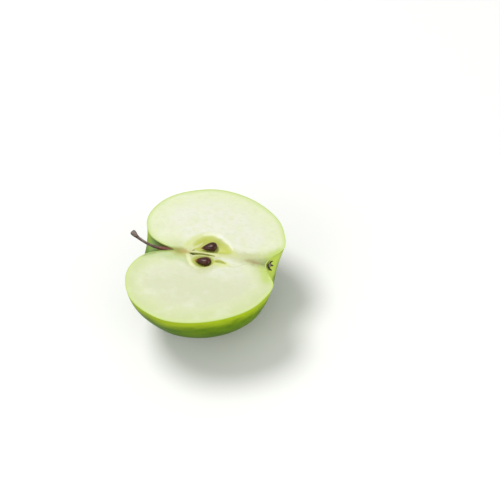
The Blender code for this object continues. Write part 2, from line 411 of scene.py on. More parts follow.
def giveSurface(tree, shader, look, colour, grain, height):
    link(tree, colour, shader.inputs["Base Color"])
    link(tree, spread(tree, grain, 0.3, 0.7, *look["roughness"]), shader.inputs["Roughness"])
    strength, distance = look["bump"]
    bump = addNode(tree, "ShaderNodeBump", in_Strength=strength, in_Distance=distance * mm)
    link(tree, height, bump.inputs["Height"])
    link(tree, bump.outputs["Normal"], shader.inputs["Normal"])


# The skin and the flesh are both turned from this section.
apple = {
    "section": (  # half of the cut face's outline, stem end first
        (-15.2, 0.0), (-18.6, 1.0), (-26.3, 4.2), (-31.1, 9.2), (-33.2, 17.9), (-27.3, 30.4), (-15.5, 37.5),
        (-3.4, 39.9), (15.2, 35.8), (29.2, 26.7), (33.9, 19.8), (36.4, 11.6), (34.3, 7.5), (31.5, 3.6),
        (30.1, 0.0),
    ),
    "depth": 38.1,  # from the cut face down to the full round of the underside
    "equator": 39.9,
    "shoulderLean": 0.6, "calyxLean": 0.4, "lowShoulder": 0.5, "lowCalyx": 3.1,
    "endReach": 30.0,  # from the middle to where these have their full size
    "rimReach": 12.0,  # from the core line to where the low ends and the ribs have theirs
    "bellyShift": 3.0,
    "ribHeight": 0.7, "ribs": 5,
    "alongSteps": 221, "turnSteps": 110,
    "skin": 0.45,  # thickness of the peel
    "fleshInset": 0.38,
    "skinProud": 0.015,
    "fleshFlat": 0.30, "skinInnerFlat": 0.28,  # the flat spot's height above the floor, inside the peel
    "colouredDepth": 6.0,  # the flesh below this is hidden by the peel
}


def lopsided(points):  # the same departures from a turned shape as in the solids
    along, across, height = points.T.copy()
    out = np.hypot(across, height)
    safe = np.maximum(out, tiny)
    far, low = across / safe, -height / safe
    turn = np.arctan2(low, far)
    belly = apple["bellyShift"] * (low * out / apple["equator"]) ** 2
    stemEnd = (np.maximum(-along, 0.0) / apple["endReach"]) ** 2
    calyxEnd = (np.maximum(along, 0.0) / apple["endReach"]) ** 2
    rim = eased(out / apple["rimReach"])
    lean = 2 * out / apple["equator"] * far
    along = along - (apple["shoulderLean"] * stemEnd + apple["calyxLean"] * calyxEnd) * lean
    along = along + belly - (apple["lowShoulder"] * stemEnd + apple["lowCalyx"] * calyxEnd) * low * rim
    out = out + apple["ribHeight"] * np.sin(apple["ribs"] * turn) * calyxEnd * rim
    return np.stack([along, out * far, -out * low * apple["depth"] / apple["equator"]], axis=1)


def turnHalf(name):
    section = smoothCurve(apple["section"], apple["alongSteps"])
    bpy.ops.mesh.primitive_circle_add(vertices=2 * (len(section) - 1), radius=1.0, fill_type="NOTHING")
    piece = fresh(name)
    bm = edit(piece)
    choose(piece, bm, lambda co: co.y < -1e-4)
    bpy.ops.mesh.delete(type="VERT")
    leave(piece)
    points = getPoints(piece)
    order = np.argsort(points[:, 0])  # from the stem end to the calyx end
    points[order, :2] = section
    setPoints(piece, points)
    edit(piece)
    bpy.ops.mesh.select_all(action="SELECT")
    bpy.ops.mesh.spin(steps=apple["turnSteps"], angle=math.pi, center=(0, 0, 0), axis=(1, 0, 0))
    bpy.ops.mesh.select_all(action="SELECT")
    bpy.ops.mesh.remove_doubles(threshold=0.0005)
    leave(piece)
    points = getPoints(piece)
    if points[:, 2].mean() > 0:
        points[:, 2] *= -1
    points[np.abs(points[:, 2]) < 1e-4, 2] = 0.0
    setPoints(piece, lopsided(points))
    tidyMesh(piece)
    if getNormals(piece)[np.argmin(getPoints(piece)[:, 2])][2] > 0:
        piece.data.flip_normals()
    return piece


def shrink(piece, inset):
    points, normals = getPoints(piece), getNormals(piece)
    edge = np.abs(points[:, 2]) < tiny
    normals[edge, 2] = 0.0
    normals[edge & (np.abs(points[:, 1]) < 1e-3), 1] = 0.0
    normals /= np.maximum(np.linalg.norm(normals, axis=1), 1e-9)[:, None]
    points = points - normals * inset
    points[edge, 2] = 0.0
    setPoints(piece, points)


def flattenSpot(piece, level):  # the small flat that the half rests on
    points = getPoints(piece)
    points[:, 2] = np.maximum(points[:, 2], -cutHeight + level)
    setPoints(piece, points)


skinOuter = turnHalf("peel")
pick(skinOuter)
bpy.ops.object.duplicate()
flesh = fresh("flesh")
shrink(flesh, apple["fleshInset"])
flattenSpot(flesh, apple["fleshFlat"])


# Where the two edges of the cut run, stem end first, read back from the turned mesh.
def cutEdges(piece):
    points = getPoints(piece)
    edge = points[np.abs(points[:, 2]) < tiny]
    middle = np.abs(edge[:, 1]) < tiny
    poles = edge[middle][np.argsort(edge[middle][:, 0])]
    sides = []
    for sign in (1, -1):
        side = edge[(edge[:, 1] * sign) > tiny]
        chain, left = [poles[0]], list(range(len(side)))
        while left:
            nearest = min(left, key=lambda i: np.linalg.norm(side[i] - chain[-1]))
            chain.append(side[nearest])
            left.remove(nearest)
        sides.append(np.array(chain + [poles[-1]]))
    return sides


farEdge, nearEdge = cutEdges(flesh)
print("stage: skin and flesh turned,", len(farEdge), len(nearEdge), "points on each edge")

core = {
    "farLocule": {
        "outline": ((-4.6, 1.9), (-6.4, 5.6), (-3.2, 9.9), (2.3, 10.7), (8.0, 8.2), (12.2, 3.3), (5.0, 1.7)),
        "depth": 2.6, "deepest": (1.6, 5.2), "soft": 0.9,
    },
    "nearLocule": {
        "outline": (
            (-4.4, -3.5), (-2.7, -6.2), (1.0, -7.3), (4.6, -5.9),
            (5.7, -3.4), (3.8, -1.4), (0.2, -0.95), (-3.0, -1.7),
        ),
        "depth": 2.3, "deepest": (1.2, -4.1), "soft": 0.8,
    },
    "slit": {
        "outline": (
            (-6.9, -0.6), (-5.0, 0.0), (-2.0, 0.3), (1.5, 0.3),
            (5.4, -0.2), (1.5, -0.35), (-2.0, -0.5), (-4.8, -1.1),
        ),
        "depth": 1.1, "width": 0.5,
    },
    "slitHole": {
        "outline": ((-6.9, -0.5), (-5.6, -0.25), (-4.4, -0.7), (-4.6, -1.15), (-6.0, -1.0)),
        "depth": 1.6, "width": 0.35,
    },
    "streak": {
        "outline": ((6.4, -3.1), (8.2, -2.3), (10.9, -3.1), (8.6, -3.4)),
        "depth": 0.6, "width": 0.5,
    },
    "tube": {
        "outline": (
            (24.0, 0.0), (27.5, 1.3), (30.0, 1.7), (33.0, 2.1), (33.0, -2.1), (30.0, -1.7), (27.5, -1.4),
        ),
        "depth": 0.6, "width": 2.4,
    },
    "bowl": {"power": 2.4, "overshoot": 0.10, "hardEdge": 0.7, "softEdge": 0.6},  # the chambers' walls
    "wallStart": 0.15,  # the narrow hollows' walls begin this far outside their outlines
    "ridges": {  # raised lips: a line with half widths, and a height
        "farLip": {
            "line": (
                (-3.6, 11.2, 0.1), (0.0, 12.4, 0.6), (3.6, 12.2, 0.8),
                (7.2, 10.0, 0.9), (10.2, 7.6, 0.9), (12.4, 5.2, 0.2),
            ),
            "height": 0.14,
        },
        "nearLip": {
            "line": ((-6.8, -2.8, 0.1), (-5.4, -5.2, 0.5), (-3.0, -7.2, 0.4), (0.0, -8.6, 0.0)),
            "height": 0.08,
        },
        "septum": {
            "line": ((-4.4, 1.2, 0.1), (-1.0, 1.2, 0.35), (4.0, 0.9, 0.4), (9.0, 0.6, 0.3), (12.5, 1.0, 0.1)),
            "height": 0.12,
        },
    },
    "ridgeCore": 0.6, "ridgeFade": 0.9,
    "uneven": {"height": 0.05, "size": 9.0, "seed": 3.0, "fromEdge": 3.0},
    "columns": 92,  # on each side of the core line
    "columnGaps": {  # narrow at the core, wider over the lobes, narrow again under the peel
        "core": 0.30, "wider": 0.75, "widerFrom": 0.30, "widerOver": 0.35,
        "narrower": 0.70, "narrowerFrom": 0.90, "narrowerOver": 0.08,
    },
}


def columnShares(count):
    gaps = core["columnGaps"]
    steps = np.linspace(0, 1, count + 1)
    wider = eased((steps - gaps["widerFrom"]) / gaps["widerOver"])
    narrower = eased((steps - gaps["narrowerFrom"]) / gaps["narrowerOver"])
    gap = gaps["core"] + gaps["wider"] * wider - gaps["narrower"] * narrower
    shares = np.concatenate([[0], np.cumsum((gap[1:] + gap[:-1]) / 2)])
    return shares / shares[-1]


def bowlShare(points, outline, deepest):  # 0 at the deepest point, 1 at the outline, more outside it
    rim = smoothCurve(outline, 90, closed=True)
    middle = np.array(deepest)
    angle = np.arctan2(*(rim - middle).T[::-1])
    reach = np.linalg.norm(rim - middle, axis=1)
    order = np.argsort(angle)
    angle, reach = angle[order], reach[order]
    own = points - middle
    limit = np.interp(np.arctan2(own[:, 1], own[:, 0]), angle, reach, period=2 * math.pi)
    return np.linalg.norm(own, axis=1) / limit


def strokeReach(points, line):  # distance beyond a line's own half width
    line = smoothCurve(line, 40)
    far, where = toPath(points, line[:, :2])
    return far - np.interp(where, np.linspace(0, 1, len(line)), line[:, 2])


def cutFaceHeight(points):
    bowl = core["bowl"]
    height = np.zeros(len(points))
    for name in ("farLocule", "nearLocule"):
        hollow = core[name]
        share = bowlShare(points, hollow["outline"], hollow["deepest"])
        reach = 1.0 + bowl["overshoot"] * hollow["soft"]
        wall = np.clip(1 - (share / reach) ** bowl["power"], 0.0, 1.0)
        height -= hollow["depth"] * wall ** (bowl["hardEdge"] + bowl["softEdge"] * hollow["soft"])
    for name in ("slit", "slitHole", "streak", "tube"):
        inside = inOutline(points, smoothCurve(core[name]["outline"], 60, closed=True))
        height -= core[name]["depth"] * eased((inside + core["wallStart"]) / core[name]["width"])
    for ridge in core["ridges"].values():
        beyond = np.maximum(strokeReach(points, ridge["line"]) + core["ridgeCore"], 0.0)
        height += ridge["height"] * np.exp(-((beyond / core["ridgeFade"]) ** 2))
    return height


def edgeDistance(flat):
    return np.minimum(toPath(flat, farEdge[:, :2])[0], toPath(flat, nearEdge[:, :2])[0])


def makeCutFace():
    rows, columns = len(farEdge) - 1, core["columns"]
    bpy.ops.mesh.primitive_grid_add(x_subdivisions=rows, y_subdivisions=2 * columns, size=2.0)
    piece = fresh("cutFace")
    grid = getPoints(piece)
    row = np.rint((grid[:, 0] + 1) / 2 * rows).astype(int)
    column = np.rint(grid[:, 1] * columns).astype(int)
    share = columnShares(columns)[np.abs(column)]
    edge = np.where((column >= 0)[:, None], farEdge[row], nearEdge[row])
    start, end = farEdge[0][0], farEdge[-1][0]
    axis = start + (end - start) * row / rows
    points = np.zeros_like(grid)
    points[:, 0] = axis + (edge[:, 0] - axis) * share
    points[:, 1] = edge[:, 1] * share
    setPoints(piece, points)
    inner = (np.abs(column) < columns) & (row > 0) & (row < rows)
    fromEdge = edgeDistance(points[:, :2])
    uneven = core["uneven"]
    waves = uneven["height"] * bumpy(points, uneven["size"], uneven["seed"])
    height = cutFaceHeight(points[:, :2]) + waves * eased(fromEdge / uneven["fromEdge"])
    points[inner, 2] = height[inner]
    setPoints(piece, points)
    return piece


cutFace = makeCutFace()
pick(flesh)
cutFace.select_set(True)
bpy.ops.object.join()
tidyMesh(flesh, mergeDistance=0.004)


# Colours and painted shade that follow the fruit's own parts are kept on the mesh as distances in
# millimetres.
marks = {  # lines on the cut face, with half widths; below zero the mark fades out
    "rootTissue": (
        (-17.2, 0.0, 0.3), (-14.6, 0.1, 0.8), (-12.0, 0.0, 1.2), (-10.0, -0.1, 1.0), (-8.2, -0.4, 0.0),
    ),
    "rootPink": ((-11.6, 0.4, 0.0), (-9.8, 0.1, 0.8), (-8.0, -0.3, 0.3), (-6.8, -0.6, 0.0)),
    "rootHalo": ((-16.0, -0.8, 0.0), (-13.0, -0.6, 1.4), (-9.8, -1.0, 1.6), (-7.0, -2.4, 0.4)),
    "tubeStain": ((20.0, 0.2, -0.8), (23.0, 0.2, 0.5), (26.5, 0.3, 1.2), (30.8, 0.6, 2.4)),
    "tubeBrown": ((20.5, 0.3, -0.6), (23.0, 0.3, 0.3), (25.5, 0.0, 0.2), (27.5, 0.0, -0.6)),
    "coreTint": ((8.0, 0.8, 0.0), (12.0, 2.0, 1.0), (17.0, 1.7, 1.5), (22.0, 1.4, 1.5), (26.5, 1.2, 1.2)),
    "calyxWash": ((20.0, 1.2, 0.0), (25.0, 1.4, 1.6), (29.0, 1.2, 2.6), (32.0, 0.0, 3.4)),
    "nearStreak": ((5.6, -3.2, 0.0), (7.6, -2.7, 0.5), (9.6, -2.9, 0.4), (11.4, -3.4, -0.1)),
    "streakGlow": ((5.6, -4.0, 0.2), (8.6, -4.0, 1.2), (11.4, -3.9, 0.9), (14.0, -4.2, 0.0)),
    "faintLine": (
        (11.0, -3.5, -0.15), (14.1, -4.7, 0.05), (16.6, -4.4, 0.05), (19.2, -2.8, 0.05), (22.5, -1.0, -0.1),
    ),
    "paleBand": (
        (-9.6, 0.6, -0.3), (-7.6, -1.6, 0.4), (-6.2, -3.8, 0.6), (-4.0, -6.6, 0.3), (-1.0, -8.8, -0.4),
    ),
    "leftHalo": ((-10.4, 2.6, -0.4), (-8.4, 5.0, 0.9), (-5.8, 7.8, 1.3), (-2.4, 10.2, 0.8), (1.0, 11.0, 0.0)),
    "tipGlow": ((9.0, 7.0, -0.4), (12.4, 4.2, 0.8), (14.6, 2.4, 0.6), (16.0, 1.6, 0.0)),
    "strand": ((-6.4, 2.2, -0.1), (-5.2, 4.2, 0.35), (-3.8, 6.4, 0.15), (-3.0, 7.8, -0.2)),
    "leftWash": ((-9.8, 0.6, 0.2), (-7.2, 1.0, 1.1), (-5.0, 1.6, 0.8), (-3.4, 2.0, 0.0)),
    "brownDot": ((-6.2, 1.1, 0.1), (-5.5, 1.4, 0.35), (-4.9, 1.5, 0.1)),
    "calyxEnd": ((33.6, 8.6, 0.0), (31.6, 4.4, 1.0), (30.6, 0.0, 1.4), (31.2, -4.6, 1.0), (33.0, -9.0, 0.2)),
    # painted shadow: dark green along the stem end of the cut face, under the stem
    "stemEnd": (
        (-29.0, -6.6, -0.3), (-24.5, -3.4, 0.4), (-18.6, -0.9, 0.6), (-15.2, 0.0, 0.4), (-18.6, 1.2, -0.2),
    ),
    # painted shade: darker sea-green on the flesh beneath the stem cavity's edge, where the stem shades it
    "cavityShade": (
        (-28.0, -7.0, -1.2), (-24.5, -5.0, -0.1), (-20.5, -3.2, 1.2), (-16.0, -2.4, 2.0), (-12.0, -2.4, 1.6),
        (-9.4, -3.4, 1.2), (-7.4, -5.0, 0.4), (-5.8, -6.8, -0.6),
    ),
}


def paintDistances(piece):
    points = getPoints(piece)
    flat = points[:, :2]
    keep(piece, "fromPeel", np.where(points[:, 2] > -apple["colouredDepth"], edgeDistance(flat), 0.0))
    for name in ("farLocule", "nearLocule", "slit", "slitHole"):
        keep(piece, name, inOutline(flat, smoothCurve(core[name]["outline"], 80, closed=True)))
    # painted shade: the next two distances place the near lobe's darker colour, over the lobe and along its
    # outer band
    keep(piece, "nearSideShade", -points[:, 1])
    keep(piece, "nearRim", toPath(flat, nearEdge[:, :2])[0])
    for name, line in marks.items():
        keep(piece, name, strokeReach(flat, line))
    for name, ridge in core["ridges"].items():
        keep(piece, name, strokeReach(flat, ridge["line"]))


paintDistances(flesh)
intoPlace(flesh)
print("stage: flesh", len(flesh.data.polygons), "faces")


skinPlaces = {
    "stem": -17.0, "calyx": 31.5,  # along the core
    # the crest is where a band of painted highlight runs on the peel
    "crest": 35.0, "crestFrom": 9.0, "crestTo": 12.5, "crestFade": 0.5,  # the basin's round edge
    "crestAfter": 25.0, "nowhere": 30.0,  # short of the first, the crest counts as this far away
}


def finishSkin():
    pick(skinOuter)
    bpy.ops.object.duplicate()
    inner = fresh("peelInside")
    shrink(inner, apple["skin"])
    flattenSpot(inner, apple["skinInnerFlat"])
    flattenSpot(skinOuter, 0.0)
    inner.data.flip_normals()
    for through, piece in enumerate((skinOuter, inner)):
        points = getPoints(piece)
        points[np.abs(points[:, 2]) < tiny, 2] = apple["skinProud"]
        setPoints(piece, points)
        keep(piece, "throughSkin", np.full(len(points), float(through)))
    pick(skinOuter)
    inner.select_set(True)
    bpy.ops.object.join()
    bm = edit(skinOuter, "EDGE")
    for open_ in bm.edges:
        open_.select = open_.is_boundary
    bmesh.update_edit_mesh(skinOuter.data)
    bpy.ops.mesh.bridge_edge_loops()
    leave(skinOuter)
    tidyMesh(skinOuter, mergeDistance=0.0005)
    along, across, height = getPoints(skinOuter).T
    out = np.hypot(across, height)
    keep(skinOuter, "stemCavity", np.hypot(along - skinPlaces["stem"], out))
    keep(skinOuter, "calyxBasin", np.hypot(along - skinPlaces["calyx"], out))
    keep(skinOuter, "belowCut", -height)
    # the next lines place the painted highlight along the basin's round edge
    past = np.maximum(out - skinPlaces["crestTo"], 0) * skinPlaces["crestFade"]
    short = np.maximum(skinPlaces["crestFrom"] - out, 0)
    crest = np.hypot(along - skinPlaces["crest"], past + short)
    keep(skinOuter, "calyxCrestHighlight", np.where(along > skinPlaces["crestAfter"], crest, skinPlaces["nowhere"]))
    intoPlace(skinOuter)


finishSkin()
print("stage: peel", len(skinOuter.data.polygons), "faces")

seeds = {
    "seedFar": {
        "node": "seed_far", "tip": (-2.9, 3.6), "blunt": (4.4, 6.4), "sink": 0.7,
        "width": 4.7, "thick": 3.5, "taper": 0.85,
    },
    "seedNear": {
        "node": "seed_near", "tip": (-3.3, -3.8), "blunt": (4.3, -3.2), "sink": 0.7,
        "width": 4.3, "thick": 3.4, "taper": 0.6,
    },
}
seedForm = {
    "segments": 72, "rings": 56,
    "bluntPower": 3.2,
    "keel": 0.035, "keelWidth": 0.35,
    "ripple": 0.010, "rippleAlong": 1.2, "rippleRound": 3, "rippleSize": 0.6, "rippleSeed": 5.0,
}


def seedGirth(share, taper):  # 0 at both ends, fattest near the blunt one
    return share**taper * np.sqrt(np.maximum(1 - share ** seedForm["bluntPower"], 0))


def makeSeed(name, shape):
    bpy.ops.mesh.primitive_uv_sphere_add(
        segments=seedForm["segments"], ring_count=seedForm["rings"], radius=1.0
    )
    piece = fresh(name)
    edit(piece)
    bpy.ops.mesh.select_all(action="SELECT")
    bpy.ops.transform.rotate(value=math.pi / 2, orient_axis="Y", center_override=(0, 0, 0))
    leave(piece)
    tip, blunt = (np.array((*shape[end], -shape["sink"])) for end in ("tip", "blunt"))
    ahead = (blunt - tip) / np.linalg.norm(blunt - tip)
    side = np.array((-ahead[1], ahead[0], 0.0))
    up = np.cross(ahead, side)
    round_ = getPoints(piece)
    share = (round_[:, 0] + 1) / 2
    angle = np.arctan2(round_[:, 2], round_[:, 1])
    girth = seedGirth(share, shape["taper"]) / seedGirth(np.linspace(0, 1, 400), shape["taper"]).max()
    sides = np.exp(-((np.cos(angle) / seedForm["keelWidth"]) ** 2))
    keel = 1 - seedForm["keel"] * sides * np.sin(math.pi * share)
    centre = tip + (blunt - tip) * share[:, None]
    wide = (np.cos(angle) * shape["width"] / 2 * girth)[:, None] * side
    tall = (np.sin(angle) * shape["thick"] / 2 * girth * keel)[:, None] * up
    around = seedForm["rippleRound"]
    places = np.stack(
        [share * seedForm["rippleAlong"], np.cos(angle) * around, np.sin(angle) * around], axis=1
    )
    ripple = 1 + seedForm["ripple"] * bumpy(places, seedForm["rippleSize"], seedForm["rippleSeed"])
    setPoints(piece, centre + (wide + tall) * ripple[:, None])
    keep(piece, "fromTip", share)
    tidyMesh(piece, mergeDistance=0.0005)
    intoPlace(piece)
    piece.data.shade_smooth()
    return piece


seedPieces = {name: makeSeed(name, shape) for name, shape in seeds.items()}
print("stage: seeds")

stemShape = {
    "path": (  # along, across, height and radius, root first
        (-12.4, 0.0, -1.15, 0.3), (-14.0, 0.0, -1.05, 0.55), (-17.0, 0.0, -0.68, 0.82),
        (-19.5, -0.2, -0.38, 0.85), (-23.5, -0.4, 0.1, 0.72), (-27.5, -0.1, 1.1, 0.65),
        (-31.0, 0.6, 2.5, 0.65), (-33.4, 1.4, 3.6, 0.82), (-34.6, 2.05, 4.2, 1.18),
        (-35.4, 2.5, 4.65, 1.34), (-35.8, 2.75, 4.85, 1.22), (-36.05, 2.9, 5.0, 0.85),
    ),
    "rings": 150, "sides": 40,
    "furrows": 7, "furrowDepth": 0.05, "furrowTwist": 9, "furrowSway": 1.5, "furrowSways": 7,
    "lumps": 0.07, "lumpsAlong": 14, "lumpSeed": 2.0,
    "capDip": 0.35,
}


def makeStem():
    knots = smoothCurve(stemShape["path"], stemShape["rings"])
    path, radii = knots[:, :3], knots[:, 3]
    bpy.ops.mesh.primitive_cylinder_add(
        vertices=stemShape["sides"], radius=1.0, depth=2.0, end_fill_type="TRIFAN"
    )
    piece = fresh("stemBark")
    bm = edit(piece, "EDGE")
    for upright in bm.edges:
        upright.select = abs(upright.verts[0].co.z - upright.verts[1].co.z) > 1
    bmesh.update_edit_mesh(piece.data)
    bpy.ops.mesh.subdivide(number_cuts=stemShape["rings"] - 2)
    leave(piece)
    own = getPoints(piece)
    ring = np.rint((own[:, 2] + 1) / 2 * (stemShape["rings"] - 1)).astype(int)
    out = np.hypot(own[:, 0], own[:, 1])
    angle = np.arctan2(own[:, 1], own[:, 0])
    ahead = np.gradient(path, axis=0)
    ahead /= np.linalg.norm(ahead, axis=1)[:, None]
    side = np.cross(ahead, (0, 0, 1.0))
    side /= np.linalg.norm(side, axis=1)[:, None]
    up = np.cross(side, ahead)
    along = ring / (stemShape["rings"] - 1)
    cap = (1 - out) * (ring == stemShape["rings"] - 1)
    sway = stemShape["furrowSway"] * np.sin(stemShape["furrowSways"] * along)
    furrow = np.sin(stemShape["furrows"] * angle + stemShape["furrowTwist"] * along + sway)
    places = np.stack([along * stemShape["lumpsAlong"], np.cos(angle), np.sin(angle)], axis=1)
    lump = stemShape["lumps"] * bumpy(places, 1.0, stemShape["lumpSeed"])
    radius = radii[ring] * (1 + stemShape["furrowDepth"] * furrow + lump) * out
    wide, tall = (np.cos(angle) * radius)[:, None], (np.sin(angle) * radius)[:, None]
    points = path[ring] + wide * side[ring] + tall * up[ring]
    points -= ahead[ring] * (stemShape["capDip"] * cap)[:, None]
    setPoints(piece, points)
    keep(piece, "alongStem", along)
    # for painted shade: how far round towards the stem's underside a point lies
    keep(piece, "underStemShade", -np.sin(angle) * np.sign(up[ring][:, 2]))
    keep(piece, "scar", cap)
    tidyMesh(piece, mergeDistance=0.0005)
    intoPlace(piece)
    piece.data.shade_smooth()
    return piece


stemPiece = makeStem()
print("stage: stem")

calyxShape = {
    "button": (31.1, 0.0, -0.5), "buttonRadius": 0.62, "buttonLumps": 0.28, "lumpSize": 0.40,
    "sepalTurns": (0.0, 0.85, 1.9, 3.1),
    "length": 3.0, "closing": 0.13, "lengthSpread": 0.08, "thickness": 0.13,
    "width": 1.8, "rootWidth": 0.45, "swell": 1.2, "taper": 0.8, "tipWidth": 0.05,
    "curl": 0.9, "curlPower": 1.6, "cup": 0.45, "rootCup": 0.4, "wave": 0.25, "waves": 9,
    "fraying": 0.42, "crumple": 0.20,
}
stamenShape = {
    "count": 17, "length": 1.1, "root": 0.10, "end": 0.05,
    "lift": (0.15, 0.0, 0.35), "ring": 0.45, "flatten": 0.8,
    "turn": 2.4, "lean": 0.35, "leanSpread": 0.25, "leanPower": 1.6,
}


def makeSepal(number, turn):
    bpy.ops.mesh.primitive_grid_add(x_subdivisions=26, y_subdivisions=12, size=2.0)
    piece = fresh(f"sepal{number}")
    grid = getPoints(piece)
    share, across = (grid[:, 0] + 1) / 2, grid[:, 1]
    outward = np.array((0.0, math.cos(turn), -math.sin(turn)))
    sideways = np.array((0.0, math.sin(turn), math.cos(turn)))
    ahead = np.array((1.0, 0.0, 0.0))
    shape = calyxShape
    edgePlaces = np.stack([share * 7, across * 1.2, 0 * share], axis=1)
    frayed = 1 + shape["fraying"] * bumpy(edgePlaces, 1.0, number * 3.1)
    outline = (shape["rootWidth"] + shape["swell"] * share) * np.maximum(1 - share, 0.0) ** shape["taper"]
    halfWidth = shape["width"] / 2 * outline * frayed + shape["tipWidth"]
    length = shape["length"] * (1 + shape["lengthSpread"] * math.sin(number * 2.3))
    reach = length * (share - shape["closing"] * share**2)
    cupped = shape["cup"] * across**2 * (shape["rootCup"] + share)
    waved = shape["wave"] * np.sin(share * shape["waves"] + number) * share
    bow = shape["curl"] * share ** shape["curlPower"] + cupped - waved
    creases = np.stack([share * 6, across * 4, 0 * share], axis=1)
    wrinkle = shape["crumple"] * bumpy(creases, 1.0, number * 1.7)
    points = np.array(shape["button"]) + reach[:, None] * outward + (across * halfWidth)[:, None] * sideways
    points = points + (bow + wrinkle)[:, None] * ahead
    setPoints(piece, points)
    solid = piece.modifiers.new("thickness", "SOLIDIFY")
    solid.thickness = shape["thickness"]
    solid.offset = 0.0
    applyAll(piece)
    return piece


def makeStamen(number):
    shape = stamenShape
    bpy.ops.mesh.primitive_cone_add(vertices=7, radius1=shape["root"], radius2=shape["end"], depth=1.0)
    piece = fresh(f"stamen{number}")
    edit(piece, "EDGE")
    bpy.ops.mesh.select_all(action="SELECT")
    bpy.ops.mesh.subdivide(number_cuts=4)
    leave(piece)
    own = getPoints(piece)
    turn = shape["turn"] * number
    lean = shape["lean"] + shape["leanSpread"] * math.sin(number * 1.9)
    ahead = np.array((1.0, 0.0, 0.0))
    outward = np.array((0.0, math.cos(turn), -abs(math.sin(turn)) * shape["flatten"]))
    sideways = np.cross(ahead, outward)
    length = shape["length"] * (0.75 + 0.25 * math.sin(number * 4.7))
    base = np.array(calyxShape["button"]) + np.array(shape["lift"]) + outward * shape["ring"]
    rise = own[:, 2] - own[:, 2].min()
    points = base + (rise * length)[:, None] * ahead + (lean * rise ** shape["leanPower"])[:, None] * outward
    points = points + own[:, :1] * outward + own[:, 1:2] * sideways
    setPoints(piece, points)
    keep(piece, "stamenShare", np.ones(len(points)))
    return piece


def makeCalyx():
    bpy.ops.mesh.primitive_uv_sphere_add(segments=28, ring_count=18, radius=calyxShape["buttonRadius"])
    piece = fresh("calyxDry")
    points = getPoints(piece)
    points *= (1 + calyxShape["buttonLumps"] * bumpy(points, calyxShape["lumpSize"], 8.0))[:, None]
    setPoints(piece, points + np.array(calyxShape["button"]))
    leaves = [makeSepal(number, turn) for number, turn in enumerate(calyxShape["sepalTurns"], 1)]
    threads = [makeStamen(number) for number in range(stamenShape["count"])]
    pick(piece)
    for part in leaves + threads:
        part.select_set(True)
    bpy.ops.object.join()
    edit(piece)
    bpy.ops.mesh.select_all(action="SELECT")
    bpy.ops.mesh.normals_make_consistent(inside=False)
    leave(piece)
    intoPlace(piece)
    piece.data.shade_smooth()
    return piece


calyxPiece = makeCalyx()
print("stage: calyx")

# Each look has its colours, its roughness from smooth to rough, and its bump's strength and height.
fleshLook = {
    "cream": (0.745, 0.753, 0.640), "greenish": (0.715, 0.740, 0.55), "outer": (0.68, 0.755, 0.42),
    # near and nearOuterShaded are painted shade: the near lobe's flesh and its outer band, darker than the
    # far lobe's
    "near": (0.612, 0.638, 0.435), "nearOuterShaded": (0.575, 0.640, 0.335), "pale": (0.77, 0.79, 0.69),
    "deep": (0.58, 0.65, 0.38), "underPeel": (0.59, 0.70, 0.29), "halo": (0.60, 0.65, 0.23),
    # nearSeedShade is painted shade: darker olive around the near seed's chamber
    "nearSeedShade": (0.50, 0.54, 0.23), "hollow": (0.55, 0.60, 0.11), "floor": (0.68, 0.72, 0.25),
    # lip and nearLip are partly the ridges' paler tissue and partly a painted highlight along them
    "lipAndHighlight": (0.84, 0.86, 0.73), "nearLip": (0.76, 0.77, 0.46), "septum": (0.60, 0.64, 0.26),
    "root": (0.31, 0.31, 0.07), "pink": (0.47, 0.37, 0.12), "rootHalo": (0.46, 0.49, 0.15),
    # the cavity colour here is painted shade beneath the stem, and stemEnd's dark green is painted shadow of
    # the stem
    "leftWash": (0.55, 0.58, 0.24), "cavityShade": (0.48, 0.58, 0.27), "stemEnd": (0.25, 0.35, 0.085),
    "tube": (0.27, 0.31, 0.12), "tubeBrown": (0.40, 0.31, 0.15), "tint": (0.54, 0.565, 0.305),
    "calyxWash": (0.52, 0.58, 0.26), "calyxEnd": (0.50, 0.62, 0.16), "streak": (0.40, 0.44, 0.06),
    "glow": (0.63, 0.69, 0.24), "line": (0.54, 0.60, 0.30), "band": (0.80, 0.82, 0.50),
    # holeShade is painted shade: near black in the slit's deeper hole
    "slit": (0.28, 0.30, 0.035), "holeShade": (0.025, 0.045, 0.010), "dot": (0.30, 0.25, 0.10),
    "raggedness": 1.6, "roughness": (0.34, 0.50), "bump": (0.45, 0.10),
}
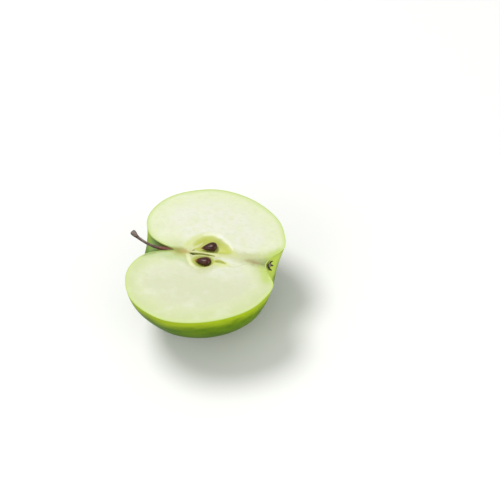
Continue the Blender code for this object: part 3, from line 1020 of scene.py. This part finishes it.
# Each layer: distance read, full colour up to, gone by, raggedness, strength, colour.
fleshLayers = {
    "broad": (
        # painted shade: the near lobe darker than the far one
        ("nearSideShade", 20.0, -4.0, 3.0, 0.90, "near"),
        ("fromPeel", 1.0, 13.0, 3.0, 0.60, "outer"),
        # painted shade: the near lobe's outer band darker too
        ("nearRim", 1.5, 9.0, 1.5, 0.90, "nearOuterShaded"),
    ),
    "fine": (
        ("fromPeel", 0.2, 2.2, 0.4, 0.75, "underPeel"),
        ("calyxWash", 0.0, 5.0, 1.4, 0.80, "calyxWash"),
        ("coreTint", -0.2, 3.0, 1.2, 0.75, "tint"),
        # painted shade beneath the stem cavity's edge
        ("cavityShade", -0.4, 3.0, 1.0, 0.70, "cavityShade"),
        ("leftHalo", -0.2, 2.8, 1.0, 0.75, "halo"),
        ("tipGlow", -0.4, 1.8, 0.8, 0.55, "halo"),
        # painted shade around the near seed
        ("nearLocule", -0.4, -5.0, 1.2, 0.70, "nearSeedShade"),
        ("farLocule", 0.3, -2.0, 0.9, 0.35, "halo"),
        ("calyxEnd", -0.6, 3.6, 0.8, 0.90, "calyxEnd"),
        # painted shadow of the stem
        ("stemEnd", -0.1, 1.4, 0.4, 0.80, "stemEnd"),
        ("rootHalo", -0.6, 2.2, 0.9, 0.80, "rootHalo"),
        ("leftWash", -0.5, 1.6, 0.7, 0.75, "leftWash"),
        ("paleBand", -0.2, 1.0, 0.4, 0.60, "band"),
        ("rootTissue", -0.9, 1.5, 0.9, 0.85, "root"),
        ("rootPink", -0.6, 1.3, 0.7, 0.80, "pink"),
        ("tubeStain", -1.6, 2.2, 0.8, 0.80, "tube"),
        ("tubeBrown", -0.6, 1.5, 0.7, 0.75, "tubeBrown"),
        ("streakGlow", -0.2, 1.3, 0.6, 0.65, "glow"),
        ("nearStreak", -0.1, 0.9, 0.4, 0.92, "streak"),
        ("faintLine", 0.0, 0.35, 0.12, 0.60, "line"),
        ("brownDot", 0.0, 0.25, 0.15, 0.80, "dot"),
        # paler tissue and painted highlight along the two lips
        ("farLip", -0.9, 1.0, 0.6, 0.62, "lipAndHighlight"),
        ("nearLip", -0.7, 1.0, 0.5, 0.60, "nearLip"),
        ("farLocule", 1.2, -1.2, 0.6, 0.90, "hollow"),
        ("farLocule", 3.6, 1.6, 0.8, 0.50, "floor"),
        ("nearLocule", 0.7, -1.2, 0.5, 0.90, "hollow"),
        ("strand", -0.1, 0.6, 0.3, 0.60, "band"),
        ("septum", -0.1, 0.9, 0.3, 0.65, "septum"),
        ("slit", 0.15, -0.45, 0.2, 0.95, "slit"),
        # painted shade in the slit's deep hole
        ("slitHole", 0.20, -0.15, 0.1, 0.97, "holeShade"),
    ),
}


def fleshFinish():
    made, tree, shader = newMaterial(
        "appleFlesh", Roughness=0.42, IOR=1.38,
        Subsurface_Weight=0.25, Subsurface_Radius=(1.0, 0.9, 0.5), Subsurface_Scale=0.0012,
    )
    look = mottle(tree, 4.0, 0.55)
    streaks = mottle(tree, 1.6, 0.9, (0.7, 1.0, 1.0))
    patches = mottle(tree, 7.0, 2.2, (0.7, 1.0, 1.0))
    fine = mottle(tree, 0.7, 0.4, (0.6, 1.0, 1.0))
    noises = (node.outputs["Blotch"] for node in (streaks, fine, look))
    uneven = addUp(tree, *(centred(tree, value) for value in noises))
    wander = calculate(tree, "MULTIPLY", uneven, fleshLook["raggedness"])
    blotch, grain = look.outputs["Blotch"], look.outputs["Grain"]
    colour = tint(tree, fleshLook["cream"], blotch, (0.30, 0.72), (0.0, 1.0), fleshLook["greenish"])
    colour = addLayers(tree, colour, wander, fleshLook, fleshLayers["broad"])
    for value, ends, strength, key in (  # soft pale and deeper patches over both lobes
        (patches.outputs["Blotch"], (0.48, 0.72), 0.35, "pale"),
        (streaks.outputs["Blotch"], (0.45, 0.75), 0.30, "deep"),
        (patches.outputs["Grain"], (0.50, 0.72), 0.30, "deep"),
    ):
        colour = tint(tree, colour, value, ends, (0.0, strength), fleshLook[key])
    colour = addLayers(tree, colour, wander, fleshLook, fleshLayers["fine"])
    height = addUp(tree, calculate(tree, "MULTIPLY", grain, 0.6), streaks.outputs["Grain"])
    giveSurface(tree, shader, fleshLook, colour, grain, height)
    return made


skinLook = {
    "green": (0.125, 0.27, 0.003), "yellowGreen": (0.20, 0.37, 0.004), "deep": (0.08, 0.20, 0.002),
    # glow is painted light on the peel just below the cut; basin is partly the basin's paler colour and
    # partly painted light
    "fleck": (0.42, 0.56, 0.07), "glow": (0.67, 0.88, 0.025), "basin": (0.75, 0.94, 0.15),
    # crest is a painted highlight along the basin's round edge; stemCavityShadow is painted shadow deep in
    # the stem cavity
    "crest": (0.84, 1.0, 0.22), "cavity": (0.21, 0.34, 0.13), "stemCavityShadow": (0.09, 0.08, 0.010),
    "russet": (0.26, 0.21, 0.07), "cutOuter": (0.50, 0.62, 0.21), "cutInner": (0.58, 0.69, 0.28),
    "cutRight": (0.56, 0.73, 0.17), "cutBasin": (0.44, 0.56, 0.14), "cutStem": (0.30, 0.42, 0.09),
    # cutRootShadow is painted shadow: near black on the cut rim at the stem root
    "cutRootShadow": (0.13, 0.14, 0.025),
    "fleckScale": 300.0, "fleckSize": 0.26, "fleckSizeScale": 250.0, "fleckStrength": 0.55,
    "roughness": (0.26, 0.40), "bump": (0.25, 0.06),
}
skinLayers = {
    "skin": (
        # painted light: the peel lighter just below the cut, fading over 8 mm
        ("belowCut", 0.3, 8.0, 5.0, 0.82, "glow"),
        ("stemCavity", 10.0, 18.0, 3.0, 0.90, "cavity"),
        # painted shadow deep in the stem cavity
        ("stemCavity", 4.0, 12.0, 2.0, 0.88, "stemCavityShadow"),
        # partly the basin's own paler colour, partly painted light on its shaded wall
        ("calyxBasin", 8.0, 16.0, 6.0, 0.90, "basin"),
        # painted highlight along the basin's round edge
        ("calyxCrestHighlight", 0.2, 2.4, 3.0, 0.45, "crest"),
    ),
    "cut": (
        ("calyxBasin", 12.0, 26.0, 0.0, 0.85, "cutRight"),
        ("calyxBasin", 4.5, 8.5, 0.0, 0.80, "cutBasin"),
        ("stemCavity", 5.0, 16.0, 0.0, 0.80, "cutStem"),
        # painted shadow on the cut rim at the stem root
        ("stemCavity", 1.4, 6.0, 0.0, 0.75, "cutRootShadow"),
    ),
}


def addFlecks(tree):  # pale pores, each of its own size
    place = addNode(tree, "ShaderNodeTexCoord").outputs["Object"]
    flecks = addNode(tree, "ShaderNodeTexVoronoi", in_Scale=skinLook["fleckScale"], in_Randomness=1.0)
    sizes = addNode(tree, "ShaderNodeTexNoise", in_Scale=skinLook["fleckSizeScale"], in_Detail=1.0)
    for node in (flecks, sizes):
        link(tree, place, node.inputs["Vector"])
    size = calculate(tree, "MULTIPLY", sizes.outputs["Fac"], skinLook["fleckSize"])
    share = calculate(tree, "DIVIDE", flecks.outputs["Distance"], size)
    return calculate(tree, "SUBTRACT", 1.0, share, clamp=True)


def skinFinish():
    made, tree, shader = newMaterial("greenPeel", Roughness=0.32, IOR=1.36, Specular_IOR_Level=0.15)
    look = mottle(tree, 16.0, 1.4)
    stripes = mottle(tree, 3.0, 0.8, (0.22, 1.0, 1.0))
    blotch, stripe = look.outputs["Blotch"], stripes.outputs["Blotch"]
    colour = tint(tree, skinLook["green"], blotch, (0.35, 0.65), (0.0, 1.0), skinLook["yellowGreen"])
    colour = tint(tree, colour, stripe, (0.45, 0.75), (0.0, 0.35), skinLook["deep"])
    spot = addFlecks(tree)
    fleck = calculate(tree, "MULTIPLY", spread(tree, spot, 0.0, 0.8), skinLook["fleckStrength"])
    colour = mixColour(tree, fleck, colour, skinLook["fleck"])
    wander = addUp(tree, centred(tree, blotch), centred(tree, stripe))
    colour = addLayers(tree, colour, wander, skinLook, skinLayers["skin"])
    nearStem = spread(tree, stored(tree, "stemCavity"), 0.5, 8.0, 0.8, 0.0)
    russet = calculate(tree, "MULTIPLY", nearStem, spread(tree, stripes.outputs["Grain"], 0.4, 0.6))
    colour = mixColour(tree, russet, colour, skinLook["russet"])
    through = stored(tree, "throughSkin")
    rim = tint(tree, skinLook["cutOuter"], through, (0.0, 1.0), (0.0, 1.0), skinLook["cutInner"])
    rim = addLayers(tree, rim, wander, skinLook, skinLayers["cut"])
    colour = mixColour(tree, spread(tree, stored(tree, "belowCut"), -0.01, 0.12, 0.95, 0.0), colour, rim)
    height = addUp(tree, calculate(tree, "MULTIPLY", look.outputs["Grain"], 0.5), spot)
    giveSurface(tree, shader, skinLook, colour, stripes.outputs["Grain"], height)
    return made


seedLook = {
    "brown": (0.024, 0.009, 0.004), "red": (0.080, 0.020, 0.010), "tip": (0.34, 0.17, 0.03),
    "roughness": (0.20, 0.38), "bump": (0.3, 0.05),
}


def seedFinish():
    made, tree, shader = newMaterial(
        "seedCoat", Roughness=0.35, IOR=1.45, Specular_IOR_Level=0.35, Coat_Weight=0.14, Coat_Roughness=0.2
    )
    look = mottle(tree, 2.6, 0.35, (1.0, 2.5, 2.5))
    colour = tint(tree, seedLook["brown"], look.outputs["Blotch"], (0.35, 0.65), (0.0, 1.0), seedLook["red"])
    colour = tint(tree, colour, stored(tree, "fromTip"), (0.03, 0.22), (0.9, 0.0), seedLook["tip"])
    giveSurface(tree, shader, seedLook, colour, look.outputs["Grain"], look.outputs["Grain"])
    return made


barkLook = {
    "brown": (0.080, 0.046, 0.036), "grey": (0.26, 0.20, 0.17), "red": (0.17, 0.050, 0.030),
    "dark": (0.022, 0.013, 0.012), "knob": (0.30, 0.19, 0.13),
    "roughness": (0.5, 0.8), "bump": (0.6, 0.10),
}


def barkFinish():
    made, tree, shader = newMaterial("stemBark", Roughness=0.62, IOR=1.45)
    look = mottle(tree, 1.6, 0.28, (0.35, 1.0, 1.0))
    grain, along = look.outputs["Grain"], stored(tree, "alongStem")
    colour = tint(tree, barkLook["brown"], look.outputs["Blotch"], (0.38, 0.62), (0.0, 1.0), barkLook["grey"])
    for value, ends, strengths, key in (
        (along, (0.30, 0.52), (0.9, 0.0), "red"),
        (grain, (0.52, 0.68), (0.0, 0.7), "dark"),
        # painted shade: the bark darker on the stem's underside
        (stored(tree, "underStemShade"), (-0.5, 0.8), (0.0, 0.6), "dark"),
        (along, (0.955, 0.985), (0.0, 0.6), "dark"),
        (stored(tree, "scar"), (0.10, 0.45), (0.0, 0.9), "knob"),
    ):
        colour = tint(tree, colour, value, ends, strengths, barkLook[key])
    giveSurface(tree, shader, barkLook, colour, grain, grain)
    return made


dryLook = {
    "dark": (0.028, 0.021, 0.007), "brown": (0.13, 0.095, 0.035), "pale": (0.52, 0.49, 0.38),
    "stamen": (0.50, 0.46, 0.34), "stamenStrength": 0.85,
    "roughness": (0.6, 0.9), "bump": (0.5, 0.08),
}


def dryFinish():
    made, tree, shader = newMaterial("dryCalyx", Roughness=0.8, IOR=1.45)
    look = mottle(tree, 1.3, 0.3)
    colour = tint(tree, dryLook["dark"], look.outputs["Blotch"], (0.4, 0.62), (0.0, 1.0), dryLook["brown"])
    colour = tint(tree, colour, look.outputs["Grain"], (0.58, 0.72), (0.0, 0.55), dryLook["pale"])
    stamen = calculate(tree, "MULTIPLY", stored(tree, "stamenShare"), dryLook["stamenStrength"])
    colour = mixColour(tree, stamen, colour, dryLook["stamen"])
    giveSurface(tree, shader, dryLook, colour, look.outputs["Grain"], look.outputs["Grain"])
    return made


def dress(piece, finish, node):
    piece.data.materials.clear()
    piece.data.materials.append(finish)
    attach(piece, "root")
    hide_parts(node)


flesh.data.shade_smooth()
pick(skinOuter)
bpy.ops.object.shade_smooth_by_angle(angle=math.radians(40))
dress(flesh, fleshFinish(), "apple_half")
dress(skinOuter, skinFinish(), "apple_half")
seedCoat = seedFinish()
for name, piece in seedPieces.items():
    dress(piece, seedCoat, seeds[name]["node"])
dress(stemPiece, barkFinish(), "stem")
dress(calyxPiece, dryFinish(), "calyx")
print("stage: finishes")
